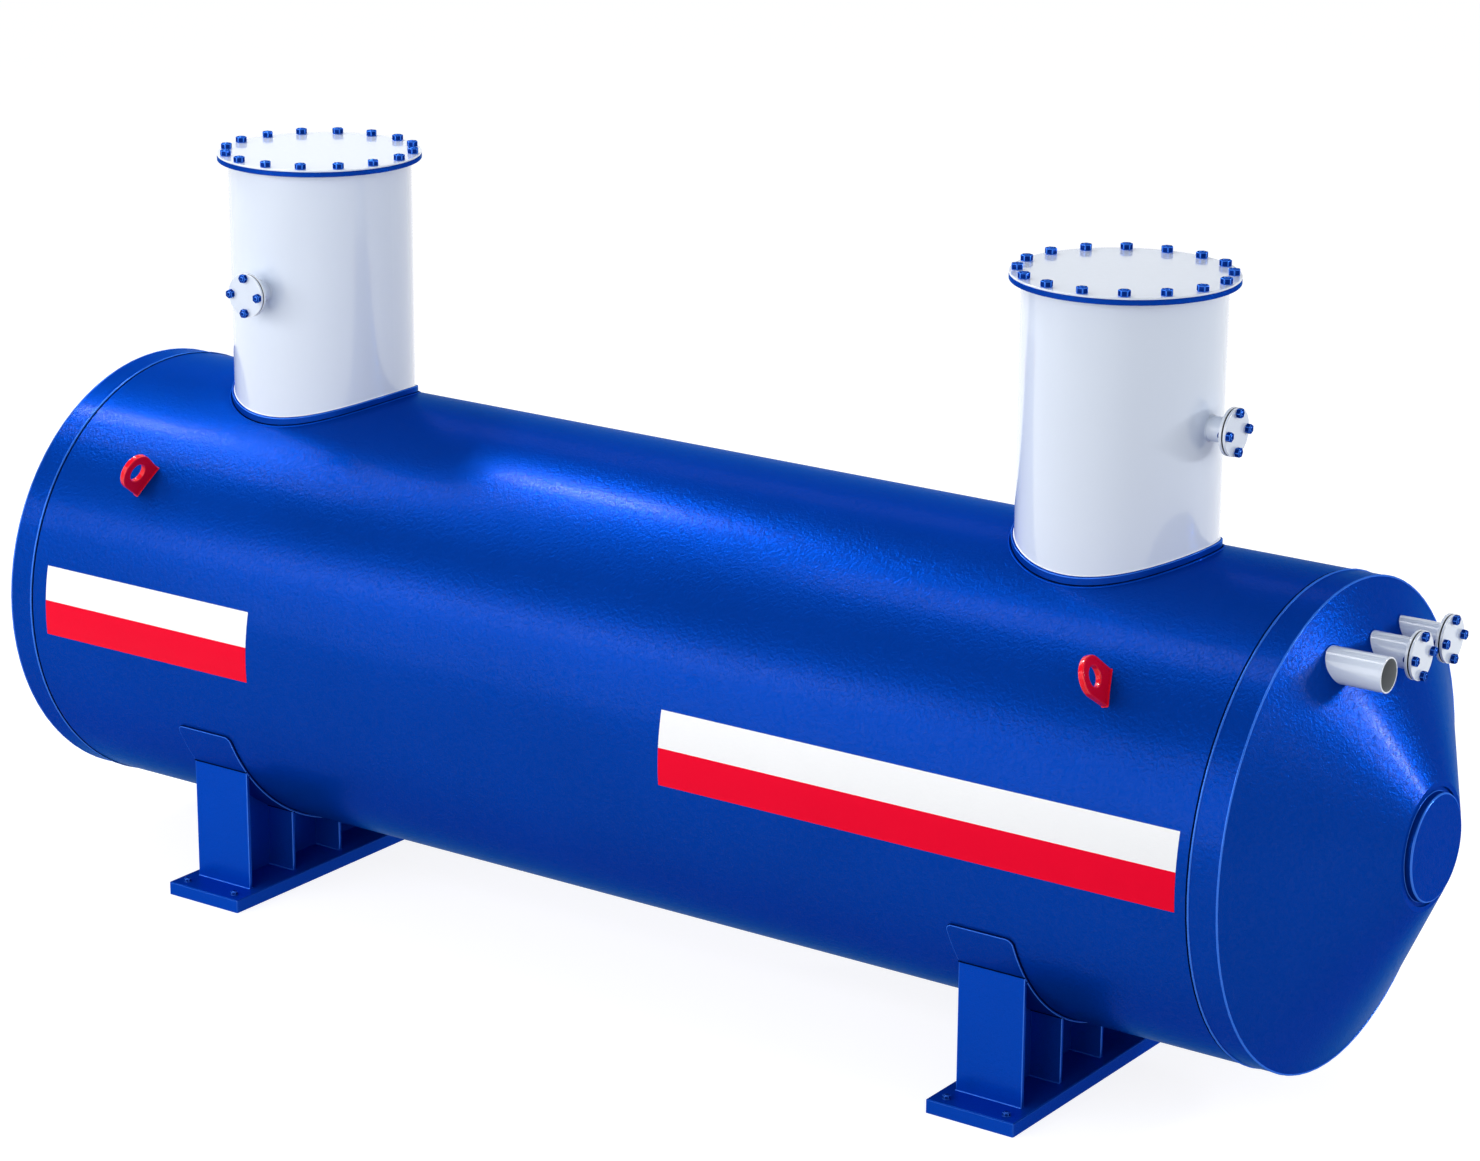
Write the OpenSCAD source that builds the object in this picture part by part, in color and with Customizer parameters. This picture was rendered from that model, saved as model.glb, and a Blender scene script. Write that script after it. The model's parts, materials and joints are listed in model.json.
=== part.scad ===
// Horizontal pressure tank: a welded steel shell with conical ends, two bolted
// manway necks, flanged nozzles, lifting lugs and two saddles.
// X runs along the tank, +X towards the end with the nozzles, -Y is the front.
// The ground is at zero height, under the saddles.

/* [Shell] */
// Outside diameter of the shell
shell_od = 2000; // [1900:10:2300]
// Wall of the shell and of its end rings
shell_wall = 10; // [6:1:16]
// Length of the shell between the two end rings
shell_len = 6008; // [5600:10:7000]
// Height of the shell's underside above the ground
belly_h = 216; // [200:2:320]

/* [Ends] */
// Width of the ring between the shell and a cone
ring_w = 126; // [80:2:180]
// Width of the weld bead over a ring's seam
bead_w = 16; // [10:1:24]
// Height of that weld bead
bead_h = 5; // [3:0.5:8]
// Length of a conical end along the tank
cone_len = 391; // [340:1:460]
// Wall of a conical end
cone_wall = 10; // [6:1:16]
// Outside diameter of a cone where it is cut off
apex_d = 520; // [490:2:600]
// Depth of the closing plate below the cone's cut end
apex_recess = 8; // [4:1:14]
// Thickness of the closing plate
apex_plate_t = 14; // [10:1:24]
// Diameter of the raised cap on the closing plate
cap_d = 438; // [360:2:450]
// Rise of the cap above the closing plate
cap_rise = 32; // [20:1:50]

/* [Manways] */
// Distance from a seam of the shell to the axis of the near neck
neck_inset = 926; // [800:2:1200]
// Outside diameter of a neck
neck_od = 820; // [760:2:840]
// Wall of a neck
neck_wall = 10; // [6:1:16]
// Height of a neck's top above the crown of the shell
neck_rise = 1073; // [980:1:1300]
// Height of the collar around the foot of a neck, off the shell
collar_h = 30; // [18:1:45]
// Thickness of that collar
collar_t = 12; // [8:1:20]
// Width of a neck flange outside its neck
neck_flange_w = 47; // [44:1:80]
// Thickness of a neck flange
neck_flange_t = 22; // [12:1:30]
// Thickness of a cover
cover_t = 8; // [6:1:20]
// Bolts on a cover
cover_bolts = 16; // [8:1:20]
// Distance from the circle of cover bolts to the edge of the cover
cover_bolt_edge = 33; // [24:1:33]
// Diameter of a cover bolt's hole
cover_hole_d = 26; // [16:1:26]
// Turn of the cover bolts from the length of the tank, in degrees
cover_turn = 7; // [0:0.5:22]

/* [Nozzle flanges] */
// Outside diameter of a nozzle flange
flange_od = 196; // [192:1:230]
// Thickness of a nozzle flange
flange_t = 12; // [8:1:20]
// Thickness of a gasket
gasket_t = 6; // [2:0.5:8]
// Set-back of a gasket's edge from the edge of its flange
gasket_set = 1.5; // [1:0.5:6]
// Thickness of a blind flange
blind_t = 12; // [8:1:20]
// Distance from a nozzle's bolt circle to the edge of its flange
flange_bolt_edge = 19; // [17:1:20]
// Bolts on a nozzle flange
flange_bolts = 4; // [3:1:4]
// Diameter of a nozzle bolt's hole
flange_hole_d = 24; // [12:1:24]

/* [Vents] */
// Outside diameter of a vent pipe on a neck
vent_od = 102; // [76:1:118]
// Wall of a vent pipe
vent_wall = 6; // [4:0.5:9]
// Height of a neck's top above the axis of its vent
vent_drop = 560; // [400:2:700]
// Distance from a neck's surface to the outer face of its blind flange
vent_reach = 112; // [90:1:180]
// Length of a vent pipe inside its neck
vent_tail = 8; // [6:1:30]

/* [Head nozzles] */
// Drop of the row of nozzles from the crown of the shell
row_drop = 240; // [215:1:280]
// Distance from the middle nozzle of the row to the far one
row_pitch = 266; // [240:1:290]
// Distance from the middle nozzle of the row to the open pipe
open_pitch = 290; // [240:1:300]
// Outside diameter of the open pipe
open_od = 142; // [120:1:155]
// Wall of the open pipe
open_wall = 7; // [5:0.5:10]
// Reach of the open pipe past the foot of the cone
open_reach = 312; // [260:1:380]
// Outside diameter of the middle pipe
middle_od = 126; // [100:1:126]
// Outside diameter of the far pipe
far_od = 108; // [90:1:122]
// Wall of the middle and the far pipe
blind_pipe_wall = 6; // [4:0.5:9]
// Reach of the blind flanges past the foot of the cone
blind_reach = 308; // [260:1:380]
// Start of the pipes inside the cone, past its foot
pipe_start = 18; // [5:1:30]

/* [Lifting lugs] */
// Distance from a seam of the shell to the near lug
lug_inset = 514; // [480:1:540]
// Height of a front lug on the shell, in degrees above the axis
front_lug_angle = 40.5; // [30:0.5:55]
// Height of a rear lug on the shell, in degrees above the axis
rear_lug_angle = 34; // [28:0.5:40]
// Turn of a lug's top edge towards the middle of the tank, in degrees
lug_turn = 16; // [0:1:30]
// Lean of a lug towards the middle of the tank, in degrees
lug_lean = 10; // [0:1:20]
// Thickness of a lug
lug_t = 26; // [16:1:36]
// Length of a lug's foot on the shell
lug_foot = 158; // [140:1:200]
// Radius of a lug's round head
lug_head_r = 84; // [70:1:92]
// Diameter of the hole in a lug
lug_hole_d = 83; // [60:1:96]
// Height of that hole's centre above the shell
lug_hole_h = 104; // [90:1:120]

/* [Saddles] */
// Distance from a seam of the shell to the middle of the near saddle
saddle_inset = 961; // [800:2:1300]
// Width of a saddle's upright plates along the tank
saddle_w = 308; // [240:2:360]
// Angle between the two end plates of a saddle, in degrees
saddle_angle = 107.5; // [100:0.5:118]
// Angle of shell that a wear plate wraps, in degrees
wear_angle = 133; // [126:0.5:150]
// Thickness of a wear plate
wear_t = 12; // [8:1:20]
// Radius of a wear plate's upper corners
wear_corner_r = 30; // [10:1:60]
// Thickness of an end plate
end_plate_t = 18; // [12:1:30]
// Thickness of a web
web_t = 16; // [10:1:24]
// Thickness of a rib
rib_t = 16; // [10:1:24]
// Length of a base plate past an end plate
toe_len = 144; // [120:1:200]
// Width of a base plate along the tank
base_w = 411; // [380:1:500]
// Thickness of a base plate
base_t = 60; // [30:1:80]
// Diameter of an anchor hole
anchor_hole_d = 22; // [16:1:32]
// Anchor hole's distance from the side of the base plate
anchor_inset_x = 65; // [40:1:90]
// Anchor hole's distance from the end of the base plate
anchor_inset_y = 53; // [40:1:70]

/* [Hidden] */
// Radial room between a pipe and the hole that it passes through
fit_gap = 0.3;
// Overrun of every cut past the faces that it opens
over = 20;
// Eased edge of heavy plates, caps and covers
edge_ease = 4;
// Eased edge of thin flanges
rim_ease = 1.5;
// Places of the ribs between the middle of a saddle and its end plates
rib_shares = [-0.625, -0.23, 0.23, 0.625];
$fn = 240;

shell_r = shell_od / 2;
axis_h = belly_h + shell_r;
seam_x = shell_len / 2;
foot_x = seam_x + ring_w;
apex_r = apex_d / 2;
neck_r = neck_od / 2;
neck_x = seam_x - neck_inset;
neck_top = axis_h + shell_r + neck_rise;
cover_od = neck_od + 2 * neck_flange_w;
cover_pcd = cover_od - 2 * cover_bolt_edge;
flange_pcd = flange_od - 2 * flange_bolt_edge;
vent_z = neck_top - vent_drop;
vent_face = neck_r + vent_reach;
row_z = axis_h + shell_r - row_drop;
lug_x = seam_x - lug_inset;
saddle_x = seam_x - saddle_inset;
wear_r = shell_r + wear_t;
end_y = wear_r * sin(saddle_angle / 2);
base_len = 2 * (end_y + toe_len);

// A cone's wall measured square to the tank's axis, and its run in and along
cone_fall = (shell_r - apex_r) / cone_len;
cone_wall_r = cone_wall * sqrt(1 + cone_fall * cone_fall);

BLUE = "#0040b4";
WHITE = "#e6ecf5";
RED = "#e0002a";
GASKET = "#1b2c4a";

// Puts what is drawn for the right end at either end of the tank
module at_end(side) {
    mirror([side < 0 ? 1 : 0, 0, 0]) children();
}

// Turns a shape drawn along Z so that it runs along X
module along_x() {
    rotate([0, 90, 0]) children();
}

// A round bar along the axis of the tank
module axis_bar(r, x0, x1) {
    translate([x0, 0, axis_h]) along_x() cylinder(r = r, h = x1 - x0);
}

// The space that the shell takes up, for cutting what sits against it
module shell_space(r) {
    axis_bar(r, -foot_x, foot_x);
}

// A tube along X from x0 to x1
module x_tube(od, wall, x0, x1) {
    translate([x0, 0, 0]) along_x() difference() {
        cylinder(d = od, h = x1 - x0);
        translate([0, 0, -over]) cylinder(d = od - 2 * wall, h = x1 - x0 + 2 * over);
    }
}

// A round plate with its outer edges eased, from z0 upwards
module round_plate(d, t, ease) {
    r = d / 2;
    rotate_extrude() polygon([
        [0, 0], [r - ease, 0], [r, ease], [r, t - ease], [r - ease, t], [0, t]
    ]);
}

// Holes on a circle, through a plate of thickness t that starts at zero
module hole_circle(pcd, count, d, turn, t) {
    for (i = [0 : count - 1])
        rotate([0, 0, turn + i * 360 / count])
            translate([pcd / 2, 0, -over])
                cylinder(d = d, h = t + 2 * over);
}

// A block with its upright corners and its upper edges eased
module eased_block(lx, ly, t, ease) {
    intersection() {
        linear_extrude(t) polygon([
            [-lx / 2 + ease, -ly / 2], [lx / 2 - ease, -ly / 2],
            [lx / 2, -ly / 2 + ease], [lx / 2, ly / 2 - ease],
            [lx / 2 - ease, ly / 2], [-lx / 2 + ease, ly / 2],
            [-lx / 2, ly / 2 - ease], [-lx / 2, -ly / 2 + ease]
        ]);
        rotate([90, 0, 0]) linear_extrude(ly, center = true) eased_side(lx, t, ease);
        rotate([90, 0, 90]) linear_extrude(lx, center = true) eased_side(ly, t, ease);
    }
}

// The side view of that block
module eased_side(l, t, ease) {
    polygon([
        [-l / 2, 0], [l / 2, 0], [l / 2, t - ease],
        [l / 2 - ease, t], [-l / 2 + ease, t], [-l / 2, t - ease]
    ]);
}

// Shell: a rolled tube, open under the two necks
module shell() {
    color(BLUE) difference() {
        translate([0, 0, axis_h]) x_tube(shell_od, shell_wall, -seam_x, seam_x);
        for (side = [-1, 1])
            translate([side * neck_x, 0, axis_h])
                cylinder(r = neck_r - neck_wall, h = shell_r + over);
    }
}

// Ring between the shell and a cone
module end_ring(side) {
    color(BLUE) at_end(side)
        translate([0, 0, axis_h]) x_tube(shell_od, shell_wall, seam_x, foot_x);
}

// Low round weld bead over the seam between the shell and a ring
module seam_weld(side) {
    bead_r = (bead_h * bead_h + bead_w * bead_w / 4) / (2 * bead_h);
    color(BLUE) at_end(side) translate([seam_x, 0, axis_h]) along_x()
        rotate_extrude() intersection() {
            translate([shell_r + bead_h - bead_r, 0]) circle(r = bead_r);
            translate([shell_r, -bead_w / 2]) square([bead_h, bead_w]);
        }
}

// Conical end; the right one is pierced for the row of pipes
module cone_head(side) {
    color(BLUE) at_end(side) difference() {
        translate([foot_x, 0, axis_h]) along_x() rotate_extrude() polygon([
            [shell_r, 0], [apex_r, cone_len],
            [apex_r - cone_wall_r, cone_len], [shell_r - cone_wall_r, 0]
        ]);
        if (side > 0) {
            row_hole(-open_pitch, open_od);
            row_hole(0, middle_od);
            row_hole(row_pitch, far_od);
        }
    }
}

module row_hole(y, od) {
    translate([foot_x - over, y, row_z])
        along_x() cylinder(d = od + 2 * fit_gap, h = cone_len + 2 * over);
}

// Closing plate of a cone with its raised cap, turned as one piece
module apex_cap(side) {
    plate_x = cone_len - apex_recess;
    cap_x = plate_x + cap_rise;
    back_x = plate_x - apex_plate_t;
    front_r = apex_r - cone_wall_r + apex_recess * cone_fall - fit_gap;
    back_r = front_r + apex_plate_t * cone_fall;
    cap_r = cap_d / 2;
    color(BLUE) at_end(side) translate([foot_x, 0, axis_h]) along_x()
        rotate_extrude() polygon([
            [0, back_x], [back_r, back_x], [front_r, plate_x], [cap_r, plate_x],
            [cap_r, cap_x - edge_ease], [cap_r - edge_ease, cap_x], [0, cap_x]
        ]);
}

// Manway neck: a tube that is cut to sit on the shell and drilled for its vent
module neck(side) {
    color(WHITE) difference() {
        translate([side * neck_x, 0, axis_h]) difference() {
            cylinder(r = neck_r, h = neck_top - axis_h);
            translate([0, 0, -over])
                cylinder(r = neck_r - neck_wall, h = neck_top - axis_h + 2 * over);
        }
        shell_space(shell_r);
        at_vent(side) along_x()
            cylinder(d = vent_od + 2 * fit_gap, h = neck_r + over);
    }
}

// Collar around the foot of a neck, of one height off the curved shell
module neck_collar(side) {
    color(BLUE) difference() {
        intersection() {
            translate([side * neck_x, 0, axis_h])
                cylinder(r = neck_r + collar_t, h = shell_r + collar_h);
            shell_space(shell_r + collar_h);
        }
        translate([side * neck_x, 0, axis_h])
            cylinder(r = neck_r, h = shell_r + collar_h + over);
        shell_space(shell_r);
    }
}

// Flange ring around the top of a neck
module neck_flange(side) {
    color(BLUE) translate([side * neck_x, 0, neck_top - neck_flange_t]) difference() {
        round_plate(cover_od, neck_flange_t, rim_ease);
        translate([0, 0, -over]) cylinder(r = neck_r, h = neck_flange_t + 2 * over);
        hole_circle(cover_pcd, cover_bolts, cover_hole_d, cover_turn, neck_flange_t);
    }
}

// Flat cover on a neck
module cover(side) {
    color(WHITE) translate([side * neck_x, 0, neck_top]) difference() {
        round_plate(cover_od, cover_t, rim_ease);
        hole_circle(cover_pcd, cover_bolts, cover_hole_d, cover_turn, cover_t);
    }
}

// Places a vent: the left one faces the front, the right one the nozzle end
module at_vent(side) {
    translate([side * neck_x, 0, vent_z]) rotate([0, 0, side < 0 ? -90 : 0]) children();
}

// Places a nozzle of the row on the right cone, from the foot of the cone
module at_row(y) {
    translate([foot_x, y, row_z]) children();
}

// A round flange along X whose front face is at x1, bored for its pipe
module nozzle_ring(bore_d, od, t, x1) {
    translate([x1 - t, 0, 0]) along_x() difference() {
        round_plate(od, t, min(rim_ease, t / 4));
        translate([0, 0, -over]) cylinder(d = bore_d, h = t + 2 * over);
        hole_circle(flange_pcd, flange_bolts, flange_hole_d, 0, t);
    }
}

module pipe_flange(pipe_od, face_x) {
    color(WHITE) nozzle_ring(pipe_od + 2 * fit_gap, flange_od, flange_t,
        face_x - blind_t - gasket_t);
}

module gasket(pipe_od, pipe_wall, face_x) {
    nozzle_ring(pipe_od - 2 * pipe_wall, flange_od - 2 * gasket_set, gasket_t,
        face_x - blind_t);
}

module blind_flange(face_x) {
    color(WHITE) translate([face_x - blind_t, 0, 0]) along_x() difference() {
        round_plate(flange_od, blind_t, rim_ease);
        hole_circle(flange_pcd, flange_bolts, flange_hole_d, 0, blind_t);
    }
}

module vent_pipe(side) {
    color(WHITE) at_vent(side) x_tube(vent_od, vent_wall,
        neck_r - neck_wall - vent_tail, vent_face - blind_t - gasket_t);
}

module vent_flange(side) {
    at_vent(side) pipe_flange(vent_od, vent_face);
}

module vent_blind(side) {
    at_vent(side) blind_flange(vent_face);
}

module open_pipe() {
    color(WHITE) at_row(-open_pitch) x_tube(open_od, open_wall, pipe_start, open_reach);
}

module row_pipe(y, od) {
    color(WHITE) at_row(y)
        x_tube(od, blind_pipe_wall, pipe_start, blind_reach - blind_t - gasket_t);
}

// Full-face gaskets of the four blind-flanged nozzles
module nozzle_gaskets() {
    color(GASKET) {
        for (side = [-1, 1])
            at_vent(side) gasket(vent_od, vent_wall, vent_face);
        at_row(0) gasket(middle_od, blind_pipe_wall, blind_reach);
        at_row(row_pitch) gasket(far_od, blind_pipe_wall, blind_reach);
    }
}

// Lifting lug: a round-headed plate with sides that run straight to its foot
module lug_outline() {
    centre_v = shell_r + lug_hole_h;
    foot_v = sqrt(shell_r * shell_r - lug_foot * lug_foot / 4) - lug_t * sin(lug_lean);
    foot_u = lug_foot / 2;
    foot_dist = norm([foot_u, centre_v - foot_v]);
    touch = acos(lug_head_r / foot_dist) - atan2(centre_v - foot_v, foot_u);
    touch_u = lug_head_r * cos(touch);
    touch_v = centre_v + lug_head_r * sin(touch);
    translate([0, centre_v]) circle(r = lug_head_r);
    polygon([
        [-foot_u, foot_v], [foot_u, foot_v], [touch_u, touch_v],
        [-touch_u, touch_v]
    ]);
}

// Places a lug on the shell: turned, and leaning about its foot
module at_lug(angle) {
    translate([lug_x, 0, axis_h]) rotate([90 - angle, 0, 0]) rotate([0, 0, lug_turn])
        translate([0, 0, shell_r]) rotate([0, -lug_lean, 0]) translate([0, 0, -shell_r])
            rotate([90, 0, 90]) children();
}

module lug(side, depth) {
    color(RED) mirror([side < 0 ? 1 : 0, 0, 0]) mirror([0, depth > 0 ? 1 : 0, 0])
        difference() {
            at_lug(depth < 0 ? front_lug_angle : rear_lug_angle) difference() {
                linear_extrude(lug_t, center = true) lug_outline();
                translate([0, shell_r + lug_hole_h, -lug_t / 2 - over])
                    cylinder(d = lug_hole_d, h = lug_t + 2 * over);
            }
            shell_space(shell_r);
        }
}

// Base plate of a saddle with its four anchor holes
module base_plate(side) {
    hole_x = base_w / 2 - anchor_inset_x;
    hole_y = base_len / 2 - anchor_inset_y;
    color(BLUE) translate([side * saddle_x, 0, 0]) difference() {
        eased_block(base_w, base_len, base_t, edge_ease);
        for (x = [-hole_x, hole_x], y = [-hole_y, hole_y])
            translate([x, y, -over]) cylinder(d = anchor_hole_d, h = base_t + 2 * over);
    }
}

// Front view of a wear plate: its lower edge is open and its upper corners are round
module wear_outline(top) {
    inner_w = saddle_w - 2 * wear_corner_r;
    translate([-saddle_w / 2, 0]) square([saddle_w, top - wear_corner_r]);
    translate([-inner_w / 2, 0]) square([inner_w, top]);
    for (u = [-inner_w / 2, inner_w / 2])
        translate([u, top - wear_corner_r]) circle(r = wear_corner_r);
}

// Wear plate rolled to the underside of the shell
module wear_plate(side) {
    top = axis_h - wear_r * cos(wear_angle / 2);
    color(BLUE) difference() {
        intersection() {
            shell_space(wear_r);
            translate([side * saddle_x, 0, 0]) rotate([90, 0, 0])
                linear_extrude(2 * wear_r, center = true) wear_outline(top);
        }
        shell_space(shell_r);
    }
}

// What stands between a base plate and a wear plate is cut to the wear plate's curve
module under_wear_plate(side) {
    difference() {
        translate([side * saddle_x, 0, base_t]) children();
        shell_space(wear_r);
    }
}

// The two end plates of a saddle
module end_plates(side) {
    color(BLUE) under_wear_plate(side)
        for (y = [-end_y, end_y - end_plate_t])
            translate([-saddle_w / 2, y, 0])
                cube([saddle_w, end_plate_t, axis_h - base_t]);
}

// Web of a saddle, from end plate to end plate
module web(side) {
    web_len = 2 * (end_y - end_plate_t);
    color(BLUE) under_wear_plate(side)
        translate([-web_t / 2, -web_len / 2, 0]) cube([web_t, web_len, axis_h - base_t]);
}

// Ribs on both sides of a web
module ribs(side) {
    rib_w = (saddle_w - web_t) / 2;
    color(BLUE) under_wear_plate(side)
        for (share = rib_shares, x = [-saddle_w / 2, web_t / 2])
            translate([x, share * end_y - rib_t / 2, 0])
                cube([rib_w, rib_t, axis_h - base_t]);
}

shell();
end_ring(-1);  // left_end_ring
end_ring(1);  // right_end_ring
seam_weld(-1);  // left_seam_weld
seam_weld(1);  // right_seam_weld
cone_head(-1);  // left_cone_head
cone_head(1);  // right_cone_head
apex_cap(-1);  // left_apex_cap
apex_cap(1);  // right_apex_cap
neck(-1);  // left_neck
neck(1);  // right_neck
neck_collar(-1);  // left_neck_collar
neck_collar(1);  // right_neck_collar
neck_flange(-1);  // left_neck_flange
neck_flange(1);  // right_neck_flange
cover(-1);  // left_cover
cover(1);  // right_cover
vent_pipe(-1);  // left_vent_pipe
vent_pipe(1);  // right_vent_pipe
vent_flange(-1);  // left_vent_flange
vent_flange(1);  // right_vent_flange
vent_blind(-1);  // left_vent_blind
vent_blind(1);  // right_vent_blind
open_pipe();
row_pipe(0, middle_od);  // middle_pipe
row_pipe(row_pitch, far_od);  // far_pipe
at_row(0) pipe_flange(middle_od, blind_reach);  // middle_flange
at_row(row_pitch) pipe_flange(far_od, blind_reach);  // far_flange
at_row(0) blind_flange(blind_reach);  // middle_blind
at_row(row_pitch) blind_flange(blind_reach);  // far_blind
nozzle_gaskets();
lug(-1, -1);  // front_left_lug
lug(1, -1);  // front_right_lug
lug(-1, 1);  // rear_left_lug
lug(1, 1);  // rear_right_lug
base_plate(-1);  // left_base_plate
base_plate(1);  // right_base_plate
wear_plate(-1);  // left_wear_plate
wear_plate(1);  // right_wear_plate
end_plates(-1);  // left_end_plates
end_plates(1);  // right_end_plates
web(-1);  // left_web
web(1);  // right_web
ribs(-1);  // left_ribs
ribs(1);  // right_ribs
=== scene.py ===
"""Looks of the horizontal tank: paint, bolts, welds, stripes, studio light and the camera."""

import json
import math

import bmesh
import bpy
from mathutils import Matrix, Vector


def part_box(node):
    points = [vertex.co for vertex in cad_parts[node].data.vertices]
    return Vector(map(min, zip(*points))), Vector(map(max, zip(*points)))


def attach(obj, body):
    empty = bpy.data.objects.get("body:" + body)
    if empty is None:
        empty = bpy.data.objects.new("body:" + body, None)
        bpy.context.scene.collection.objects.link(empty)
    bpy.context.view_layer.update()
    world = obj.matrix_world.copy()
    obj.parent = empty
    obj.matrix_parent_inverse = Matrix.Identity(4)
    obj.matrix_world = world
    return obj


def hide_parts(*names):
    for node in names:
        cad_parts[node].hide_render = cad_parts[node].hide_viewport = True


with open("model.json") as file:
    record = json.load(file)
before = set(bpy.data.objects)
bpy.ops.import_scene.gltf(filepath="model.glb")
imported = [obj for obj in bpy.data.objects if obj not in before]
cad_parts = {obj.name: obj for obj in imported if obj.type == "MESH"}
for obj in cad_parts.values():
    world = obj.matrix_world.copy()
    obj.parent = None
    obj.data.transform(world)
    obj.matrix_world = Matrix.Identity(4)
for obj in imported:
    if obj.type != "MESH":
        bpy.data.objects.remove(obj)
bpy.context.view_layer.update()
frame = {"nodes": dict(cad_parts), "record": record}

MM = 0.001
UP = (0, 0, 1)
ALONG = (1, 0, 0)
SIDES = ("left", "right")
ROWS = ("front", "rear")

# Places that the frame gives, in metres
SHELL_LOW, SHELL_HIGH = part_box("shell")
SHELL_R = (SHELL_HIGH.z - SHELL_LOW.z) / 2
AXIS_Z = (SHELL_HIGH.z + SHELL_LOW.z) / 2
SEAM_X = SHELL_HIGH.x
CONE_LOW, CONE_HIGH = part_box("right_cone_head")
FOOT_X = CONE_LOW.x
NECK_LOW, NECK_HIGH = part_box("right_neck")
NECK_X = (NECK_LOW.x + NECK_HIGH.x) / 2
NECK_R = (NECK_HIGH.x - NECK_LOW.x) / 2
COLLAR_LOW, COLLAR_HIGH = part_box("right_neck_collar")
COLLAR_R = (COLLAR_HIGH.x - COLLAR_LOW.x) / 2
COLLAR_H = COLLAR_HIGH.z - SHELL_HIGH.z
MOUNTS = {m["name"]: m for m in frame["record"]["mounts"]}
SLOT_OF = {s["node"]: s["material_slot"] for s in frame["record"]["subparts"]}

# Photograph's frame and the camera that it was fitted to
IMAGE_W = 1480
SENSOR_W = 36.0
FOCAL_PIXELS = 4094.1
CAMERA_PLACE = Vector((9.8931, -13.7068, 5.5755 + AXIS_Z))
CAMERA_YAW = 0.61362
CAMERA_PITCH = 0.29467
CAMERA_ROLL = 0.00592
CAMERA_REACH = 300

# Colours, as linear light
BLUE = (0.0003, 0.043, 0.345, 1.0)
# painted highlight for blue edges and beads
BLUE_EDGE_HIGHLIGHT = (0.03, 0.18, 0.8, 1.0)
# painted shade for beads in crevices and beside seams
BLUE_CREVICE_SHADE = (0.0001, 0.005, 0.04, 1.0)
# a lighter copy of the blue: painted light on the saddles and a bead at the neck's foot
SADDLE_LIT_BLUE = (0.0004, 0.057, 0.46, 1.0)
BOLT_BLUE = (0.0003, 0.022, 0.2, 1.0)
WHITE = (0.74, 0.81, 0.92, 1.0)
# painted highlight for white edges and beads
WHITE_EDGE_HIGHLIGHT = (0.9, 0.93, 0.97, 1.0)
RED = (0.93, 0.0008, 0.016, 1.0)
# painted highlight for red edges
RED_EDGE_HIGHLIGHT = (0.97, 0.012, 0.03, 1.0)
STRIPE_WHITE = (0.98, 0.98, 0.98, 1.0)
STRIPE_RED = (0.93, 0.001, 0.028, 1.0)
RUBBER = (0.003, 0.005, 0.014, 1.0)
BORE_GREY = (0.42, 0.44, 0.45, 1.0)
CLEAR_GLOSS = (1.0, 1.0, 1.0, 1.0)
BLUE_GLOSS = (0.0, 0.47, 1.0, 1.0)
RED_GLOSS = (1.0, 0.12, 0.16, 1.0)


def deselect():
    bpy.ops.object.select_all(action="DESELECT")


def pick(piece):
    """Makes a piece the only selected one, and the active one."""
    deselect()
    piece.select_set(True)
    bpy.context.view_layer.objects.active = piece


def keep_faces_selected(test):
    """In edit mode, selects the faces that pass the test."""
    mesh = bmesh.from_edit_mesh(bpy.context.object.data)
    for face in mesh.faces:
        face.select_set(test(face))
    bmesh.update_edit_mesh(bpy.context.object.data)


def apply_place(piece):
    """Puts a piece's place and turn into its mesh."""
    pick(piece)
    bpy.ops.object.transform_apply(location=True, rotation=True, scale=True)


def join(pieces, name):
    """Joins pieces into one mesh with the given name."""
    pick(pieces[0])
    for piece in pieces:
        piece.select_set(True)
    if len(pieces) > 1:
        bpy.ops.object.join()
    joined = bpy.context.object
    joined.name = name
    joined.data.name = name
    apply_place(joined)
    return joined


def finish_piece(piece, material, angle=35):
    """Gives a piece its shading, its material if it has none, and its place in the object."""
    pick(piece)
    bpy.ops.object.shade_smooth_by_angle(angle=math.radians(angle))
    if not piece.data.materials:
        piece.data.materials.append(material)
    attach(piece, "root")
    return piece


def copies(source, places):
    """Copies of a piece, each with its own mesh, at the given matrices."""
    made = []
    for place in places:
        twin = source.copy()
        twin.data = source.data.copy()
        twin.matrix_world = place
        bpy.context.scene.collection.objects.link(twin)
        made.append(twin)
    bpy.data.objects.remove(source)
    return made


# Materials

PEEL_DETAIL, GRAIN_DETAIL, DRIFT_DETAIL = 2.0, 3.0, 3.0
PEEL_DISTORTION = 0.6
PEEL_DEPTH = 0.003
NOISE_LOW, NOISE_HIGH = 0.3, 0.7
ROUGHNESS_LOW, ROUGHNESS_HIGH = 0.85, 1.15
# A Mix node's sockets for colours
COLOUR_A, COLOUR_B, COLOUR_OUT = 6, 7, 2


def new_group(name, inputs, outputs):
    """A shader node group with named value inputs and outputs."""
    group = bpy.data.node_groups.new(name, "ShaderNodeTree")
    for label, value in inputs:
        socket = group.interface.new_socket(label, in_out="INPUT", socket_type="NodeSocketFloat")
        socket.default_value = value
    for label in outputs:
        group.interface.new_socket(label, in_out="OUTPUT", socket_type="NodeSocketFloat")
    return group, group.nodes.new("NodeGroupInput"), group.nodes.new("NodeGroupOutput")


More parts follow.
